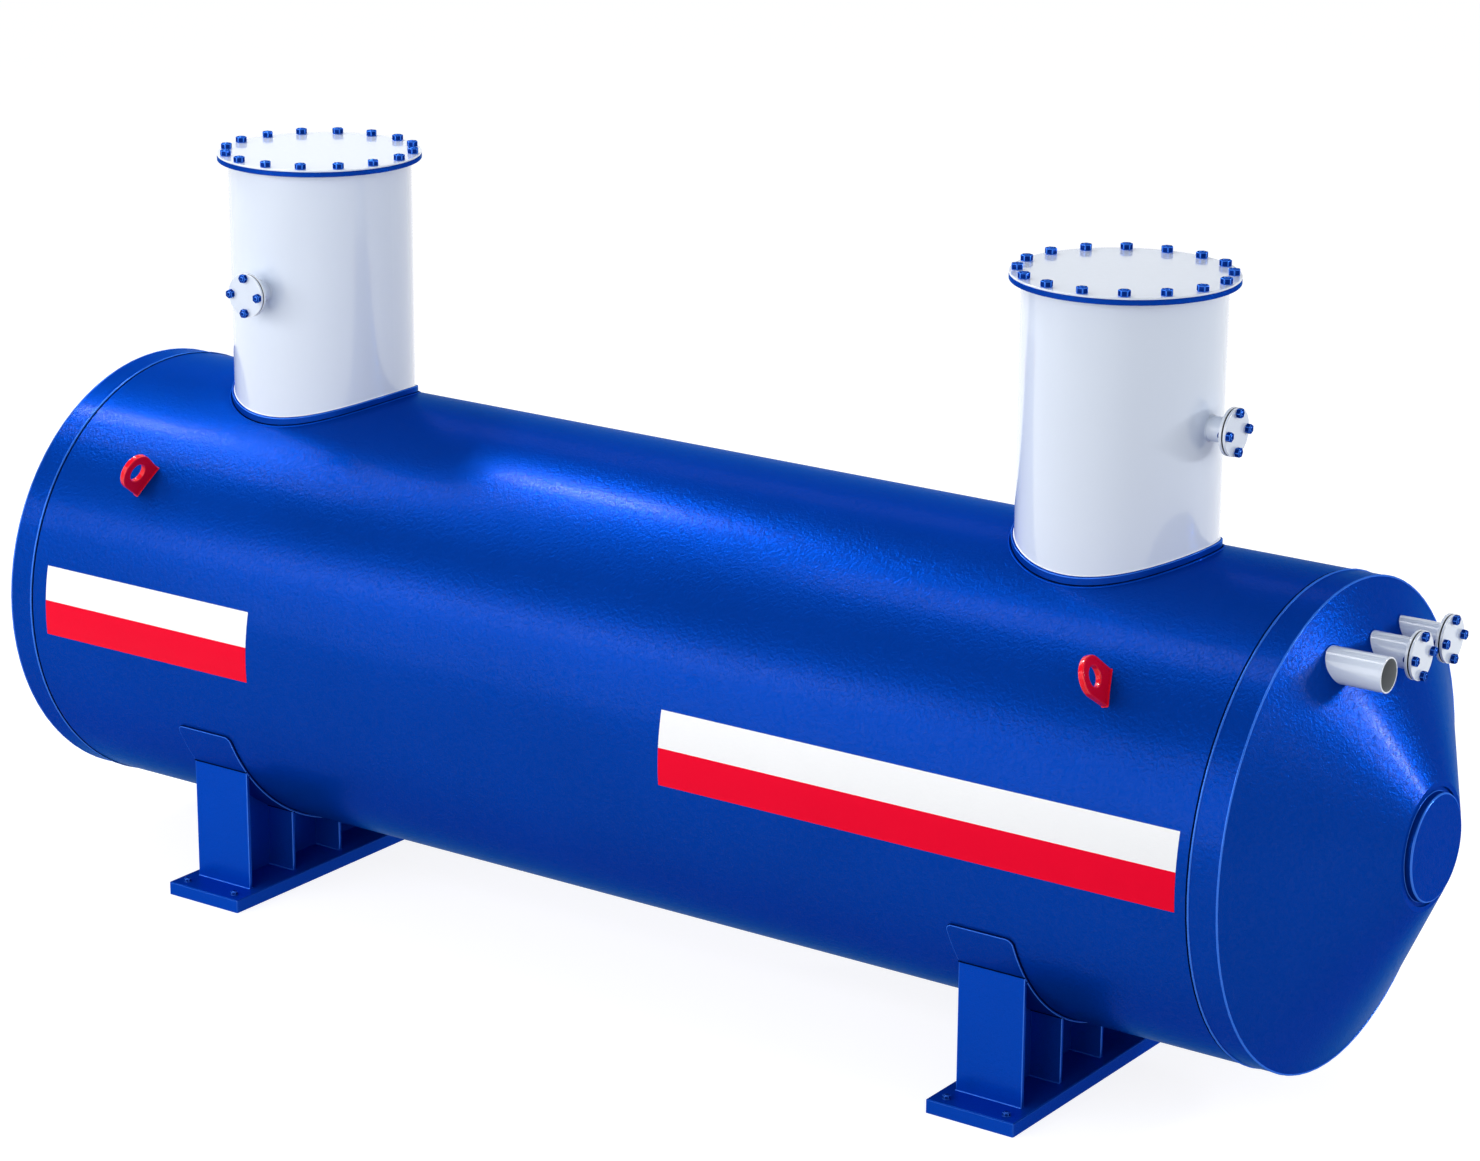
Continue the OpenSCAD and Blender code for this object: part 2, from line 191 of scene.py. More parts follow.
def paint_film_group():
    """Orange peel, fine grain and slow drift of a sprayed coat of paint."""
    group, ins, outs = new_group(
        "sprayed paint film",
        [("Peel Scale", 70.0), ("Grain Scale", 420.0), ("Grain Share", 0.35), ("Drift Scale", 1.3)],
        ["Height", "Drift", "Grain"],
    )
    nodes, links = group.nodes, group.links
    place = nodes.new("ShaderNodeTexCoord")

    def noise(scale_label, detail):
        texture = nodes.new("ShaderNodeTexNoise")
        texture.inputs["Detail"].default_value = detail
        links.new(place.outputs["Object"], texture.inputs["Vector"])
        links.new(ins.outputs[scale_label], texture.inputs["Scale"])
        return texture

    peel = noise("Peel Scale", PEEL_DETAIL)
    peel.inputs["Distortion"].default_value = PEEL_DISTORTION
    grain = noise("Grain Scale", GRAIN_DETAIL)
    drift = noise("Drift Scale", DRIFT_DETAIL)
    mix = nodes.new("ShaderNodeMix")
    links.new(ins.outputs["Grain Share"], mix.inputs["Factor"])
    links.new(peel.outputs["Fac"], mix.inputs["A"])
    links.new(grain.outputs["Fac"], mix.inputs["B"])
    links.new(mix.outputs["Result"], outs.inputs["Height"])
    links.new(drift.outputs["Fac"], outs.inputs["Drift"])
    links.new(grain.outputs["Fac"], outs.inputs["Grain"])
    return group


PAINT_FILM = paint_film_group()


def map_range(nodes, low, high):
    """A node that spreads a noise value between two limits."""
    spread = nodes.new("ShaderNodeMapRange")
    spread.inputs["From Min"].default_value = NOISE_LOW
    spread.inputs["From Max"].default_value = NOISE_HIGH
    spread.inputs["To Min"].default_value = low
    spread.inputs["To Max"].default_value = high
    return spread


def paint(name, colour, shade, roughness, peel, grain_share, bump,
          gloss_level=0.5, gloss_tint=CLEAR_GLOSS, flake=0.0,
          coat=0.0, coat_roughness=0.06, coat_ior=1.5, mottle=0.1):
    """Sprayed paint: colour drifts a little towards a darker shade, with orange peel in the gloss."""
    material = bpy.data.materials.new(name)
    material.use_nodes = True
    nodes, links = material.node_tree.nodes, material.node_tree.links
    shader = nodes["Principled BSDF"]
    film = nodes.new("ShaderNodeGroup")
    film.node_tree = PAINT_FILM
    film.inputs["Peel Scale"].default_value = peel
    film.inputs["Grain Share"].default_value = grain_share
    hue = nodes.new("ShaderNodeMix")
    hue.data_type = "RGBA"
    hue.inputs[COLOUR_A].default_value = colour
    hue.inputs[COLOUR_B].default_value = [c * shade for c in colour[:3]] + [1.0]
    drift = map_range(nodes, 0.0, 1.0)
    gloss = map_range(nodes, roughness * ROUGHNESS_LOW, roughness * ROUGHNESS_HIGH)
    relief = nodes.new("ShaderNodeBump")
    relief.inputs["Strength"].default_value = bump
    relief.inputs["Distance"].default_value = PEEL_DEPTH
    links.new(film.outputs["Drift"], drift.inputs["Value"])
    links.new(drift.outputs["Result"], hue.inputs["Factor"])
    links.new(hue.outputs[COLOUR_OUT], shader.inputs["Base Color"])
    links.new(film.outputs["Grain"], gloss.inputs["Value"])
    links.new(gloss.outputs["Result"], shader.inputs["Roughness"])
    links.new(film.outputs["Height"], relief.inputs["Height"])
    links.new(relief.outputs["Normal"], shader.inputs["Normal"])
    shader.inputs["Specular IOR Level"].default_value = gloss_level
    shader.inputs["Specular Tint"].default_value = gloss_tint
    shader.inputs["Metallic"].default_value = flake
    if coat:
        polish = map_range(nodes, coat * (1 - mottle), coat * (1 + mottle))
        links.new(film.outputs["Height"], polish.inputs["Value"])
        links.new(polish.outputs["Result"], shader.inputs["Coat Weight"])
    shader.inputs["Coat Roughness"].default_value = coat_roughness
    shader.inputs["Coat IOR"].default_value = coat_ior
    return material


# Finishes that several paints share
BLUE_LACQUER = {"gloss_level": 0.0, "gloss_tint": BLUE_GLOSS, "coat_ior": 2.5}
THIN_LACQUER = {"flake": 0.36, "coat": 0.012, "coat_roughness": 0.12, **BLUE_LACQUER}
WHITE_LACQUER = {
    "roughness": 0.2, "peel": 40.0, "grain_share": 0.25, "bump": 0.02,
    "gloss_level": 0.3, "coat": 0.9, "coat_roughness": 0.05, "mottle": 0.03,
}
STRIPE_FILM = {"roughness": 0.4, "peel": 60.0, "grain_share": 0.4, "bump": 0.3}

MATERIALS = {
    "blue_paint": paint(
        "blue paint", BLUE, shade=0.92, roughness=0.21, peel=65.0, grain_share=0.15, bump=0.85,
        flake=0.34, coat=0.013, coat_roughness=0.16, mottle=0.9, **BLUE_LACQUER),
    "white_paint": paint("white paint", WHITE, shade=0.98, **WHITE_LACQUER),
    "red_paint": paint(
        "red paint", RED, shade=0.92, roughness=0.25, peel=80.0, grain_share=0.3, bump=0.1,
        gloss_level=0.2, gloss_tint=RED_GLOSS, coat=0.3),
    "gasket": paint(
        "gasket rubber", RUBBER, shade=0.8, roughness=0.7, peel=200.0, grain_share=0.5, bump=0.3,
        gloss_level=0.1),
}
# Lighter paints for the faces that bevels add and for some beads: painted highlights along edges
EDGE_HIGHLIGHT_PAINTS = {
    "blue_paint": paint(
        "blue paint with painted highlight on edges", BLUE_EDGE_HIGHLIGHT, shade=0.85, roughness=0.22, peel=90.0, grain_share=0.3,
        bump=0.2, flake=0.36, coat=0.08, coat_roughness=0.15, **BLUE_LACQUER),
    "white_paint": paint("white paint with painted highlight on edges", WHITE_EDGE_HIGHLIGHT, shade=0.97, **WHITE_LACQUER),
    "red_paint": paint(
        "red paint with painted highlight on edges", RED_EDGE_HIGHLIGHT, shade=0.95, roughness=0.2, peel=80.0, grain_share=0.3,
        bump=0.03, gloss_level=0.3, gloss_tint=RED_GLOSS, coat=0.6),
}
BOLT_PAINT = paint(
    "blue paint on bolts", BOLT_BLUE, shade=0.85, roughness=0.2, peel=90.0, grain_share=0.3,
    bump=0.2, **THIN_LACQUER)
# A lighter copy of the blue paint for the saddles and a bead at the neck's foot: painted light
LIT_BLUE_PAINT = paint(
    "blue paint lightened as painted light", SADDLE_LIT_BLUE, shade=0.9, roughness=0.3, peel=50.0, grain_share=0.15,
    bump=0.4, **THIN_LACQUER)
# A darker grey for the inside of the open pipe
BORE_PAINT = paint(
    "darker grey in the open pipe", BORE_GREY, shade=0.85, roughness=0.5, peel=60.0, grain_share=0.4,
    bump=0.2, gloss_level=0.3)
# Near-black blue for beads in crevices, beside the seams and around the wear plates: painted shade
CREVICE_SHADE_PAINT = paint(
    "blue painted shade in crevices", BLUE_CREVICE_SHADE, shade=0.7, roughness=0.5, peel=60.0, grain_share=0.3,
    bump=0.3, gloss_level=0.0, gloss_tint=BLUE_GLOSS)
STRIPE_PAINTS = {
    "white": paint("stripe white", STRIPE_WHITE, shade=0.99, gloss_level=0.3, **STRIPE_FILM),
    "red": paint("stripe red", STRIPE_RED, shade=0.97, gloss_level=0.2, gloss_tint=RED_GLOSS,
                 **STRIPE_FILM),
}
SADDLE_NODES = ("_base_plate", "_end_plates", "_web", "_ribs")


def dress_frame():
    """Gives every CAD node the paint of its slot, and the saddles' plates a lighter copy of the blue, as
    painted light.
    """
    for name, node in frame["nodes"].items():
        node.data.materials.clear()
        on_saddle = name.endswith(SADDLE_NODES)
        node.data.materials.append(LIT_BLUE_PAINT if on_saddle else MATERIALS[SLOT_OF[name]])


dress_frame()


# Plates whose edges are rounded more than the frame's; the rounded faces take a lighter paint, a painted
# highlight

MERGE_GAP = 0.02 * MM
FLAT_DEG = 0.4
SHARP_DEG = 30
EASED_SMOOTH_DEG = 50
LUG_EASE = 5 * MM
BORE_FACING = -0.9
# Radius and steps of the rounded edges, by the last words of the node's name
SIDE_EASES = {
    "_end_plates": (6 * MM, 3),
    "_ribs": (5 * MM, 3),
    "_wear_plate": (5.5 * MM, 3),
    "_base_plate": (7 * MM, 3),
    "_apex_cap": (9 * MM, 4),
    "_neck_collar": (4 * MM, 3),
    "_cover": (2 * MM, 2),
    "_vent_flange": (1.5 * MM, 2),
    "_vent_blind": (2 * MM, 2),
}
NOZZLE_EASES = {"_flange": (1.5 * MM, 2), "_blind": (2 * MM, 2)}
OPEN_PIPE_EASE = (2 * MM, 2)


def eased_copy(node, width, segments=3):
    """A copy of a CAD node with its sharp edges rounded, which stands for the node; the rounding is painted
    lighter as a painted highlight.
    """
    source = frame["nodes"][node]
    piece = source.copy()
    piece.data = source.data.copy()
    piece.parent = None
    piece.matrix_world = source.matrix_world
    piece.name = node + "_eased"
    piece.data.name = piece.name
    piece.data.materials.append(EDGE_HIGHLIGHT_PAINTS[SLOT_OF[node]])
    bpy.context.scene.collection.objects.link(piece)
    pick(piece)
    bpy.ops.object.mode_set(mode="EDIT")
    bpy.ops.mesh.select_all(action="SELECT")
    bpy.ops.mesh.remove_doubles(threshold=MERGE_GAP)
    bpy.ops.mesh.dissolve_limited(angle_limit=math.radians(FLAT_DEG))
    bpy.ops.object.mode_set(mode="OBJECT")
    round_edges = piece.modifiers.new("rounded edges", "BEVEL")
    round_edges.width = width
    round_edges.segments = segments
    # The faces that the bevel adds take the lighter paint: a painted highlight
    round_edges.material = 1
    round_edges.limit_method = "ANGLE"
    round_edges.angle_limit = math.radians(SHARP_DEG)
    bpy.ops.object.modifier_apply(modifier=round_edges.name)
    finish_piece(piece, MATERIALS[SLOT_OF[node]], angle=EASED_SMOOTH_DEG)
    flat_faces = piece.modifiers.new("flat faces", "WEIGHTED_NORMAL")
    flat_faces.keep_sharp = True
    bpy.ops.object.modifier_apply(modifier=flat_faces.name)
    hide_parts(node)
    return piece


def grey_bore(pipe):
    """Gives the inside of the open pipe a darker grey."""
    low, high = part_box("open_pipe")
    middle = (low + high) / 2
    pipe.data.materials.append(BORE_PAINT)
    grey_slot = len(pipe.data.materials) - 1
    for face in pipe.data.polygons:
        outward = Vector((0, face.center.y - middle.y, face.center.z - middle.z))
        if face.normal.dot(outward.normalized()) < BORE_FACING:
            face.material_index = grey_slot


for side in SIDES:
    for row in ROWS:
        eased_copy(f"{row}_{side}_lug", LUG_EASE)
    for words, ease in SIDE_EASES.items():
        eased_copy(side + words, *ease)
for nozzle in ("middle", "far"):
    for words, ease in NOZZLE_EASES.items():
        eased_copy(nozzle + words, *ease)
grey_bore(eased_copy("open_pipe", *OPEN_PIPE_EASE))


# Bolts

BAR_SIDES = 28
END_FACING = 0.9
HOLE_PLAY = 2 * MM
BOLT_SMOOTH_DEG = 40
COVER_TURN = 7.0
COVER_FLATS = 45 * MM
NOZZLE_FLATS = 36 * MM
STUD_SHORT = 2 * MM
# Sizes as shares of a bar's diameter or a bolt's thread
DIMPLE_RIM_SHARE, DIMPLE_FLOOR_SHARE = 0.16, 0.06
NUT_SHARE, NUT_EASE_SHARE = 1.05, 0.14
STUD_END_SHARE, STUD_EASE_SHARE, STUD_DIMPLE_SHARE = 0.06, 0.06, 0.16
HEAD_SHARE, HEAD_EASE_SHARE = 0.9, 0.1
BOLT_TAIL_SHARE, BOLT_TOP_SHARE, BOLT_EASE_SHARE, BOLT_DIMPLE_SHARE = 0.45, 0.04, 0.08, 0.1
WASHER_SHARE, WASHER_WIDTH_SHARE, WASHER_EASE_SHARE = 0.16, 1.85, 0.04
ANCHOR_HEAD_SHARE, ANCHOR_FLATS_SHARE, ANCHOR_EASE_SHARE = 0.6, 1.5, 0.1
ANCHOR_DEPTH_SHARE, ANCHOR_TOP_SHARE = 1.5, 0.12


def bolt_paints(piece):
    """Blue paint for a bolt's faces, and a lighter blue painted highlight for what a bevel adds."""
    piece.data.materials.append(BOLT_PAINT)
    piece.data.materials.append(EDGE_HIGHLIGHT_PAINTS["blue_paint"])


def hexagon(flats, height, base_z, ease):
    """A hexagon nut or head that stands on base_z, with all its edges eased."""
    deselect()
    bpy.ops.mesh.primitive_cylinder_add(
        vertices=6, radius=flats / math.sqrt(3), depth=height, location=(0, 0, base_z + height / 2)
    )
    bolt_paints(bpy.context.object)
    bpy.ops.object.mode_set(mode="EDIT")
    bpy.ops.mesh.select_all(action="SELECT")
    # the bevel's faces take the painted highlight
    bpy.ops.mesh.bevel(offset=ease, segments=3, affect="EDGES", material=1)
    bpy.ops.object.mode_set(mode="OBJECT")
    return bpy.context.object


def round_bar(diameter, low_z, high_z, ease, dimple=0.0):
    """A round bar or washer with eased ends; a dimple is sunk in the top of a stud."""
    deselect()
    bpy.ops.mesh.primitive_cylinder_add(
        vertices=BAR_SIDES, radius=diameter / 2, depth=high_z - low_z,
        location=(0, 0, (low_z + high_z) / 2),
    )
    bolt_paints(bpy.context.object)
    bpy.ops.object.mode_set(mode="EDIT")
    bpy.ops.mesh.select_mode(type="FACE")
    keep_faces_selected(lambda face: abs(face.normal.z) > END_FACING)
    # the bevel's faces take the painted highlight
    bpy.ops.mesh.bevel(offset=ease, segments=2, affect="EDGES", material=1)
    if dimple:
        keep_faces_selected(lambda face: face.normal.z > END_FACING)
        bpy.ops.mesh.inset(thickness=diameter * DIMPLE_RIM_SHARE)
        bpy.ops.mesh.extrude_region_move(TRANSFORM_OT_translate={"value": (0, 0, -dimple)})
        bpy.ops.mesh.inset(thickness=diameter * DIMPLE_FLOOR_SHARE)
    bpy.ops.object.mode_set(mode="OBJECT")
    return bpy.context.object


def top_set(thread, flats, depth):
    """A stud that stands in its hole to the given depth, with a nut on top and a dimpled end."""
    nut_h = NUT_SHARE * thread
    return [
        hexagon(flats, nut_h, 0, NUT_EASE_SHARE * thread),
        round_bar(thread, -depth, nut_h + STUD_END_SHARE * thread, STUD_EASE_SHARE * thread,
                  dimple=STUD_DIMPLE_SHARE * thread),
    ]


def screwed_set(thread, flats, grip):
    """A bolt screwed through plates of total thickness grip, its end showing behind them."""
    head_h = HEAD_SHARE * thread
    return [
        hexagon(flats, head_h, 0, HEAD_EASE_SHARE * thread),
        round_bar(thread, -grip - BOLT_TAIL_SHARE * thread, head_h + BOLT_TOP_SHARE * thread,
                  BOLT_EASE_SHARE * thread, dimple=BOLT_DIMPLE_SHARE * thread),
    ]


def anchor_set(thread):
    """An anchor bolt's washer, head and shank, standing on the plate."""
    washer_h = WASHER_SHARE * thread
    head_h = ANCHOR_HEAD_SHARE * thread
    return [
        round_bar(WASHER_WIDTH_SHARE * thread, 0, washer_h, WASHER_EASE_SHARE * thread),
        hexagon(ANCHOR_FLATS_SHARE * thread, head_h, washer_h, ANCHOR_EASE_SHARE * thread),
        round_bar(thread, -ANCHOR_DEPTH_SHARE * thread,
                  washer_h + head_h + ANCHOR_TOP_SHARE * thread, ANCHOR_EASE_SHARE * thread),
    ]


def axis_turn(axis):
    """The turn that lays +Z along an axis of the object and keeps a bolt circle's start at its side."""
    axis = Vector(axis)
    side = Vector((1, 0, 0)) if abs(axis.x) < 0.5 else Vector((0, 1, 0))
    other = axis.cross(side)
    return Matrix((side, other, axis)).transposed().to_4x4()


def thread_of(dims):
    """The thread that goes through a mount's holes."""
    return 2 * dims["hole_r_mm"] * MM - HOLE_PLAY


def bolt_group(name, bolt, places):
    """Copies of one bolt's pieces at the given places, as one piece."""
    group = join(copies(bolt, places), name)
    finish_piece(group, MATERIALS["blue_paint"], angle=BOLT_SMOOTH_DEG)


def bolt_circle(name, mount, turn_deg, make_set):
    """Bolts around a bolt circle that the record states, flats square to the radius."""
    dims = mount["dims"]
    base = Matrix.Translation(mount["pos_m"]) @ axis_turn(mount["axis"])
    spread = Matrix.Translation((dims["pcd_mm"] / 2 * MM, 0, 0))
    places = []
    for i in range(dims["count"]):
        turn = Matrix.Rotation(math.radians(turn_deg) + i * math.tau / dims["count"], 4, "Z")
        places.append(base @ turn @ spread)
    bolt_group(name, join(make_set(thread_of(dims)), "bolt set"), places)


def anchor_bolts(name, mount, plate):
    """Anchor bolts with washers on a base plate."""
    dims = mount["dims"]
    centre = Vector(mount["pos_m"])
    half_x, half_y = dims["spacing_x_mm"] / 2 * MM, dims["spacing_y_mm"] / 2 * MM
    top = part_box(plate)[1].z
    places = [
        Matrix.Translation((centre.x + sx * half_x, centre.y + sy * half_y, top))
        for sx in (-1, 1) for sy in (-1, 1)
    ]
    bolt_group(name, join(anchor_set(thread_of(dims)), "anchor set"), places)


def thickness(node, axis):
    """A node's size along an axis of the object."""
    low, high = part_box(node)
    return abs((high - low).dot(Vector(axis)))


COVER_GRIP = thickness("right_cover", UP) + thickness("right_neck_flange", UP)
NOZZLE_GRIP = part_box("middle_blind")[1].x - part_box("middle_flange")[0].x
for side in SIDES:
    bolt_circle(side + "_cover_studs", MOUNTS[side + "_cover_bolts"], COVER_TURN,
                lambda thread: top_set(thread, COVER_FLATS, COVER_GRIP - STUD_SHORT))
for nozzle in ("left_vent", "right_vent", "middle_nozzle", "far_nozzle"):
    bolt_circle(nozzle + "_bolts", MOUNTS[nozzle + "_bolts"], 0.0,
                lambda thread: screwed_set(thread, NOZZLE_FLATS, NOZZLE_GRIP))
for side in SIDES:
    anchor_bolts(side + "_anchor_bolts", MOUNTS[side + "_anchors"], side + "_base_plate")


# Weld beads

RIPPLE = 5 * MM
FINE_SWELL, FINE_PACE = 0.07, 2.4
SLOW_SWELL, SLOW_PACE = 0.05, 0.37
BEAD_SMOOTH_DEG = 60
THIN_BEAD = 3 * MM
PLATE_BEAD = 3.5 * MM
PLAIN_BEAD = 4 * MM
WIDE_BEAD = 4.5 * MM
SEAM_BEAD = 5 * MM
COLLAR_STEPS, RING_STEPS, VENT_STEPS = 240, 120, 90
OUTER_BEAD_GAP, OUTER_BEAD_SINK = 7 * MM, 1 * MM
# the inward offset places the band of painted shade beside the seam
SEAM_BEAD_OUT, SEAM_SHADE_IN = 4 * MM, 5 * MM
BEAD_SINK = 2 * MM
LUG_FOOT_REACH = 0.6 * MM
LUG_POINT_GAP = 0.5 * MM
WEAR_CORNER = 30 * MM
WEAR_STEPS, CORNER_STEPS = 40, 8


def evenly(points, closed):
    """Points spread evenly along a path, one for each ripple of a bead."""
    if closed:
        points = points + points[:1]
    runs = [(b - a).length for a, b in zip(points, points[1:])]
    total = sum(runs)
    count = max(4, round(total / RIPPLE))
    spread, i, past = [], 0, 0.0
    for k in range(count if closed else count + 1):
        aim = total * k / count
        while i < len(runs) - 1 and past + runs[i] < aim:
            past += runs[i]
            i += 1
        share = (aim - past) / runs[i]
        spread.append(points[i].lerp(points[i + 1], min(1.0, share)))
    return spread


def bead(points, radius, closed=True, material=None):
    """A rippled weld bead along a path, in a paint of its own where one is given."""
    spread = evenly([Vector(p) for p in points], closed)
    curve = bpy.data.curves.new("bead", "CURVE")
    curve.dimensions = "3D"
    curve.bevel_depth = radius
    curve.bevel_resolution = 2
    curve.use_fill_caps = not closed
    line = curve.splines.new("POLY")
    line.points.add(len(spread) - 1)
    line.use_cyclic_u = closed
    for i, (point, place) in enumerate(zip(line.points, spread)):
        point.co = (*place, 1.0)
        point.radius = 1.0 + FINE_SWELL * math.sin(FINE_PACE * i) + SLOW_SWELL * math.sin(SLOW_PACE * i)
    piece = bpy.data.objects.new("bead", curve)
    bpy.context.scene.collection.objects.link(piece)
    pick(piece)
    bpy.ops.object.convert(target="MESH")
    if material:
        bpy.context.object.data.materials.append(material)
    return bpy.context.object


def bead_group(name, beads, slot):
    """Beads joined into one piece, in the paint of the slot where they have none."""
    return finish_piece(join(beads, name), MATERIALS[slot], angle=BEAD_SMOOTH_DEG)


def around(count):
    """Angles spread evenly over a full turn."""
    return [math.tau * i / count for i in range(count)]


def over_shell(x, y, radius):
    """The point on top of a shell of the given radius, over a place on the plan."""
    return (x, y, AXIS_Z + math.sqrt(radius * radius - y * y))


def ring_path(centre, radius, axis):
    """A circle about an axis of the object."""
    turn = axis_turn(axis)
    return [
        Vector(centre) + turn @ Vector((radius * math.cos(a), radius * math.sin(a), 0))
        for a in around(RING_STEPS)
    ]


def neck_welds(side, sign):
    """Beads on a neck: a white painted highlight on its collar's top, painted shade in the crevice at its
    foot, a lighter blue painted highlight around that, and a bead under the flange.
    """
    x0 = sign * NECK_X
    rows = []
    for radius, height, thick, material in (
        # the collar's top bead is a white painted highlight, the foot bead painted shade, the outer bead a
        # lighter blue painted highlight
        (NECK_R, COLLAR_H, THIN_BEAD, EDGE_HIGHLIGHT_PAINTS["white_paint"]),
        (COLLAR_R, 0, WIDE_BEAD, CREVICE_SHADE_PAINT),
        (COLLAR_R + OUTER_BEAD_GAP, -OUTER_BEAD_SINK, WIDE_BEAD, LIT_BLUE_PAINT),
    ):
        path = [
            over_shell(x0 + radius * math.cos(a), radius * math.sin(a), SHELL_R + height)
            for a in around(COLLAR_STEPS)
        ]
        rows.append(bead(path, thick, material=material))
    bead_group(side + "_collar_welds", rows, "blue_paint")
    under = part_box(side + "_neck_flange")[0].z
    flange_bead = bead(ring_path((x0, 0, under), NECK_R, UP), PLAIN_BEAD)
    bead_group(side + "_neck_flange_weld", [flange_bead], "white_paint")


def vent_welds(side, sign):
    """Beads where a vent pipe meets its neck and its flange; the left vent faces front, the right one +X."""
    low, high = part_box(side + "_vent_pipe")
    centre = (low + high) / 2
    r = (high.z - low.z) / 2
    faces_front = sign < 0
    foot = []
    for a in around(VENT_STEPS):
        u, z = r * math.cos(a), centre.z + r * math.sin(a)
        out = math.sqrt(NECK_R * NECK_R - u * u)
        foot.append((centre.x + u, -out, z) if faces_front else (sign * NECK_X + out, u, z))
    flange_low, flange_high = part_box(side + "_vent_flange")
    if faces_front:
        back, axis = (centre.x, flange_high.y, centre.z), (0, -1, 0)
    else:
        back, axis = (flange_low.x, 0, centre.z), ALONG
    beads = [bead(foot, PLAIN_BEAD), bead(ring_path(back, r, axis), THIN_BEAD)]
    bead_group(side + "_vent_welds", beads, "white_paint")


def cone_radius_at_end():
    """The right cone's outer radius where its cap closes it."""
    verts = frame["nodes"]["right_cone_head"].data.vertices
    return max(math.hypot(v.co.y, v.co.z - AXIS_Z) for v in verts if v.co.x > CONE_HIGH.x - MM)


def row_welds():
    """Beads where the row of pipes meets the right cone and the flanges."""
    fall = (SHELL_R - cone_radius_at_end()) / (CONE_HIGH.x - CONE_LOW.x)
    feet, backs = [], []
    for name in ("open", "middle", "far"):
        low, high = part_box(name + "_pipe")
        y0, z0 = (low.y + high.y) / 2, (low.z + high.z) / 2
        r = (high.y - low.y) / 2
        foot = []
        for a in around(RING_STEPS):
            y, z = y0 + r * math.cos(a), z0 + r * math.sin(a)
            foot.append((FOOT_X + (SHELL_R - math.hypot(y, z - AXIS_Z)) / fall, y, z))
        feet.append(bead(foot, PLAIN_BEAD))
        if name != "open":
            back_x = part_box(name + "_flange")[0].x
            backs.append(bead(ring_path((back_x, y0, z0), r, ALONG), THIN_BEAD))
    bead_group("row_pipe_cone_welds", feet, "blue_paint")
    bead_group("row_flange_welds", backs, "white_paint")


def end_welds(side, sign):
    """Beads on the edge of a cone and on the seam of its end ring, both in a lighter painted highlight, with
    a band of painted shade beside the seam.
    """
    # edge holds the lighter paint of the painted highlights on the cone's edge and the seam bead
    edge = EDGE_HIGHLIGHT_PAINTS["blue_paint"]

    def hoop(x, radius, thick, material):
        return bead(ring_path((sign * x, 0, AXIS_Z), radius, ALONG), thick, material=material)

    bead_group(side + "_cone_weld", [hoop(FOOT_X, SHELL_R - BEAD_SINK, WIDE_BEAD, edge)], "blue_paint")
    seam = bead_group(side + "_seam_bead", [
        hoop(SEAM_X + SEAM_BEAD_OUT, SHELL_R, SEAM_BEAD, edge),
        hoop(SEAM_X - SEAM_SHADE_IN, SHELL_R - BEAD_SINK, WIDE_BEAD, CREVICE_SHADE_PAINT),
    ], "blue_paint")
    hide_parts(side + "_seam_weld")


def lug_weld(node):
    """Bead around the foot of a lug, through its corners on the shell."""
    feet = []
    for vertex in frame["nodes"][node].data.vertices:
        if math.hypot(vertex.co.y, vertex.co.z - AXIS_Z) < SHELL_R + LUG_FOOT_REACH:
            feet.append(vertex.co.copy())
    centre = sum(feet, Vector()) / len(feet)
    outward = Vector((0, centre.y, centre.z - AXIS_Z)).normalized()
    along = Vector(ALONG)
    across = outward.cross(along)
    feet.sort(key=lambda p: math.atan2((p - centre).dot(across), (p - centre).dot(along)))
    loop = [feet[0]]
    for p in feet[1:]:
        if (p - loop[-1]).length > LUG_POINT_GAP:
            loop.append(p)
    return bead(loop, THIN_BEAD)


def wear_plate_outline(x0, x1, top):
    """The edge of a wear plate on the shell, with round upper corners."""
    corner = WEAR_CORNER
    last = math.acos((AXIS_Z - (top - corner)) / SHELL_R)
    half = []
    for i in range(WEAR_STEPS + 1):
        half.append((x1, AXIS_Z - SHELL_R * math.cos(last * i / WEAR_STEPS)))
    for i in range(1, CORNER_STEPS + 1):
        a = math.radians(90 * i / CORNER_STEPS)
        half.append((x1 - corner + corner * math.cos(a), top - corner + corner * math.sin(a)))
    line = half + [(x0 + x1 - x, z) for x, z in reversed(half)]
    outline = []
    for front, way in ((-1, line), (1, line[::-1])):
        for x, z in way:
            reach = math.sqrt(max(0.0, SHELL_R ** 2 - (z - AXIS_Z) ** 2))
            outline.append((x, front * reach, z))
    return outline


def saddle_welds(side):
    """Beads of painted shade around a wear plate and along the heads of the plates under it, and of painted
    highlight along their feet.
    """
    wear_low, wear_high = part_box(side + "_wear_plate")
    wear_r = AXIS_Z - wear_low.z
    x0, x1 = wear_low.x, wear_high.x
    # the bead around the wear plate is painted shade
    rim = bead(wear_plate_outline(x0, x1, wear_high.z), PLATE_BEAD, material=CREVICE_SHADE_PAINT)
    bead_group(side + "_wear_plate_weld", [rim], "blue_paint")
    base_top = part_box(side + "_base_plate")[1].z
    lines = []
    for words in ("_end_plates", "_ribs"):
        verts = [v.co for v in frame["nodes"][side + words].data.vertices]
        for y in sorted({round(v.y, 4) for v in verts if v.z < base_top + MM}):
            head = AXIS_Z - math.sqrt(wear_r * wear_r - y * y)
            # feet take a painted highlight, heads painted shade
            for z, material in ((base_top, EDGE_HIGHLIGHT_PAINTS["blue_paint"]), (head, CREVICE_SHADE_PAINT)):
                lines.append(bead([(x0, y, z), (x1, y, z)], PLAIN_BEAD, False, material))
    bead_group(side + "_saddle_welds", lines, "blue_paint")


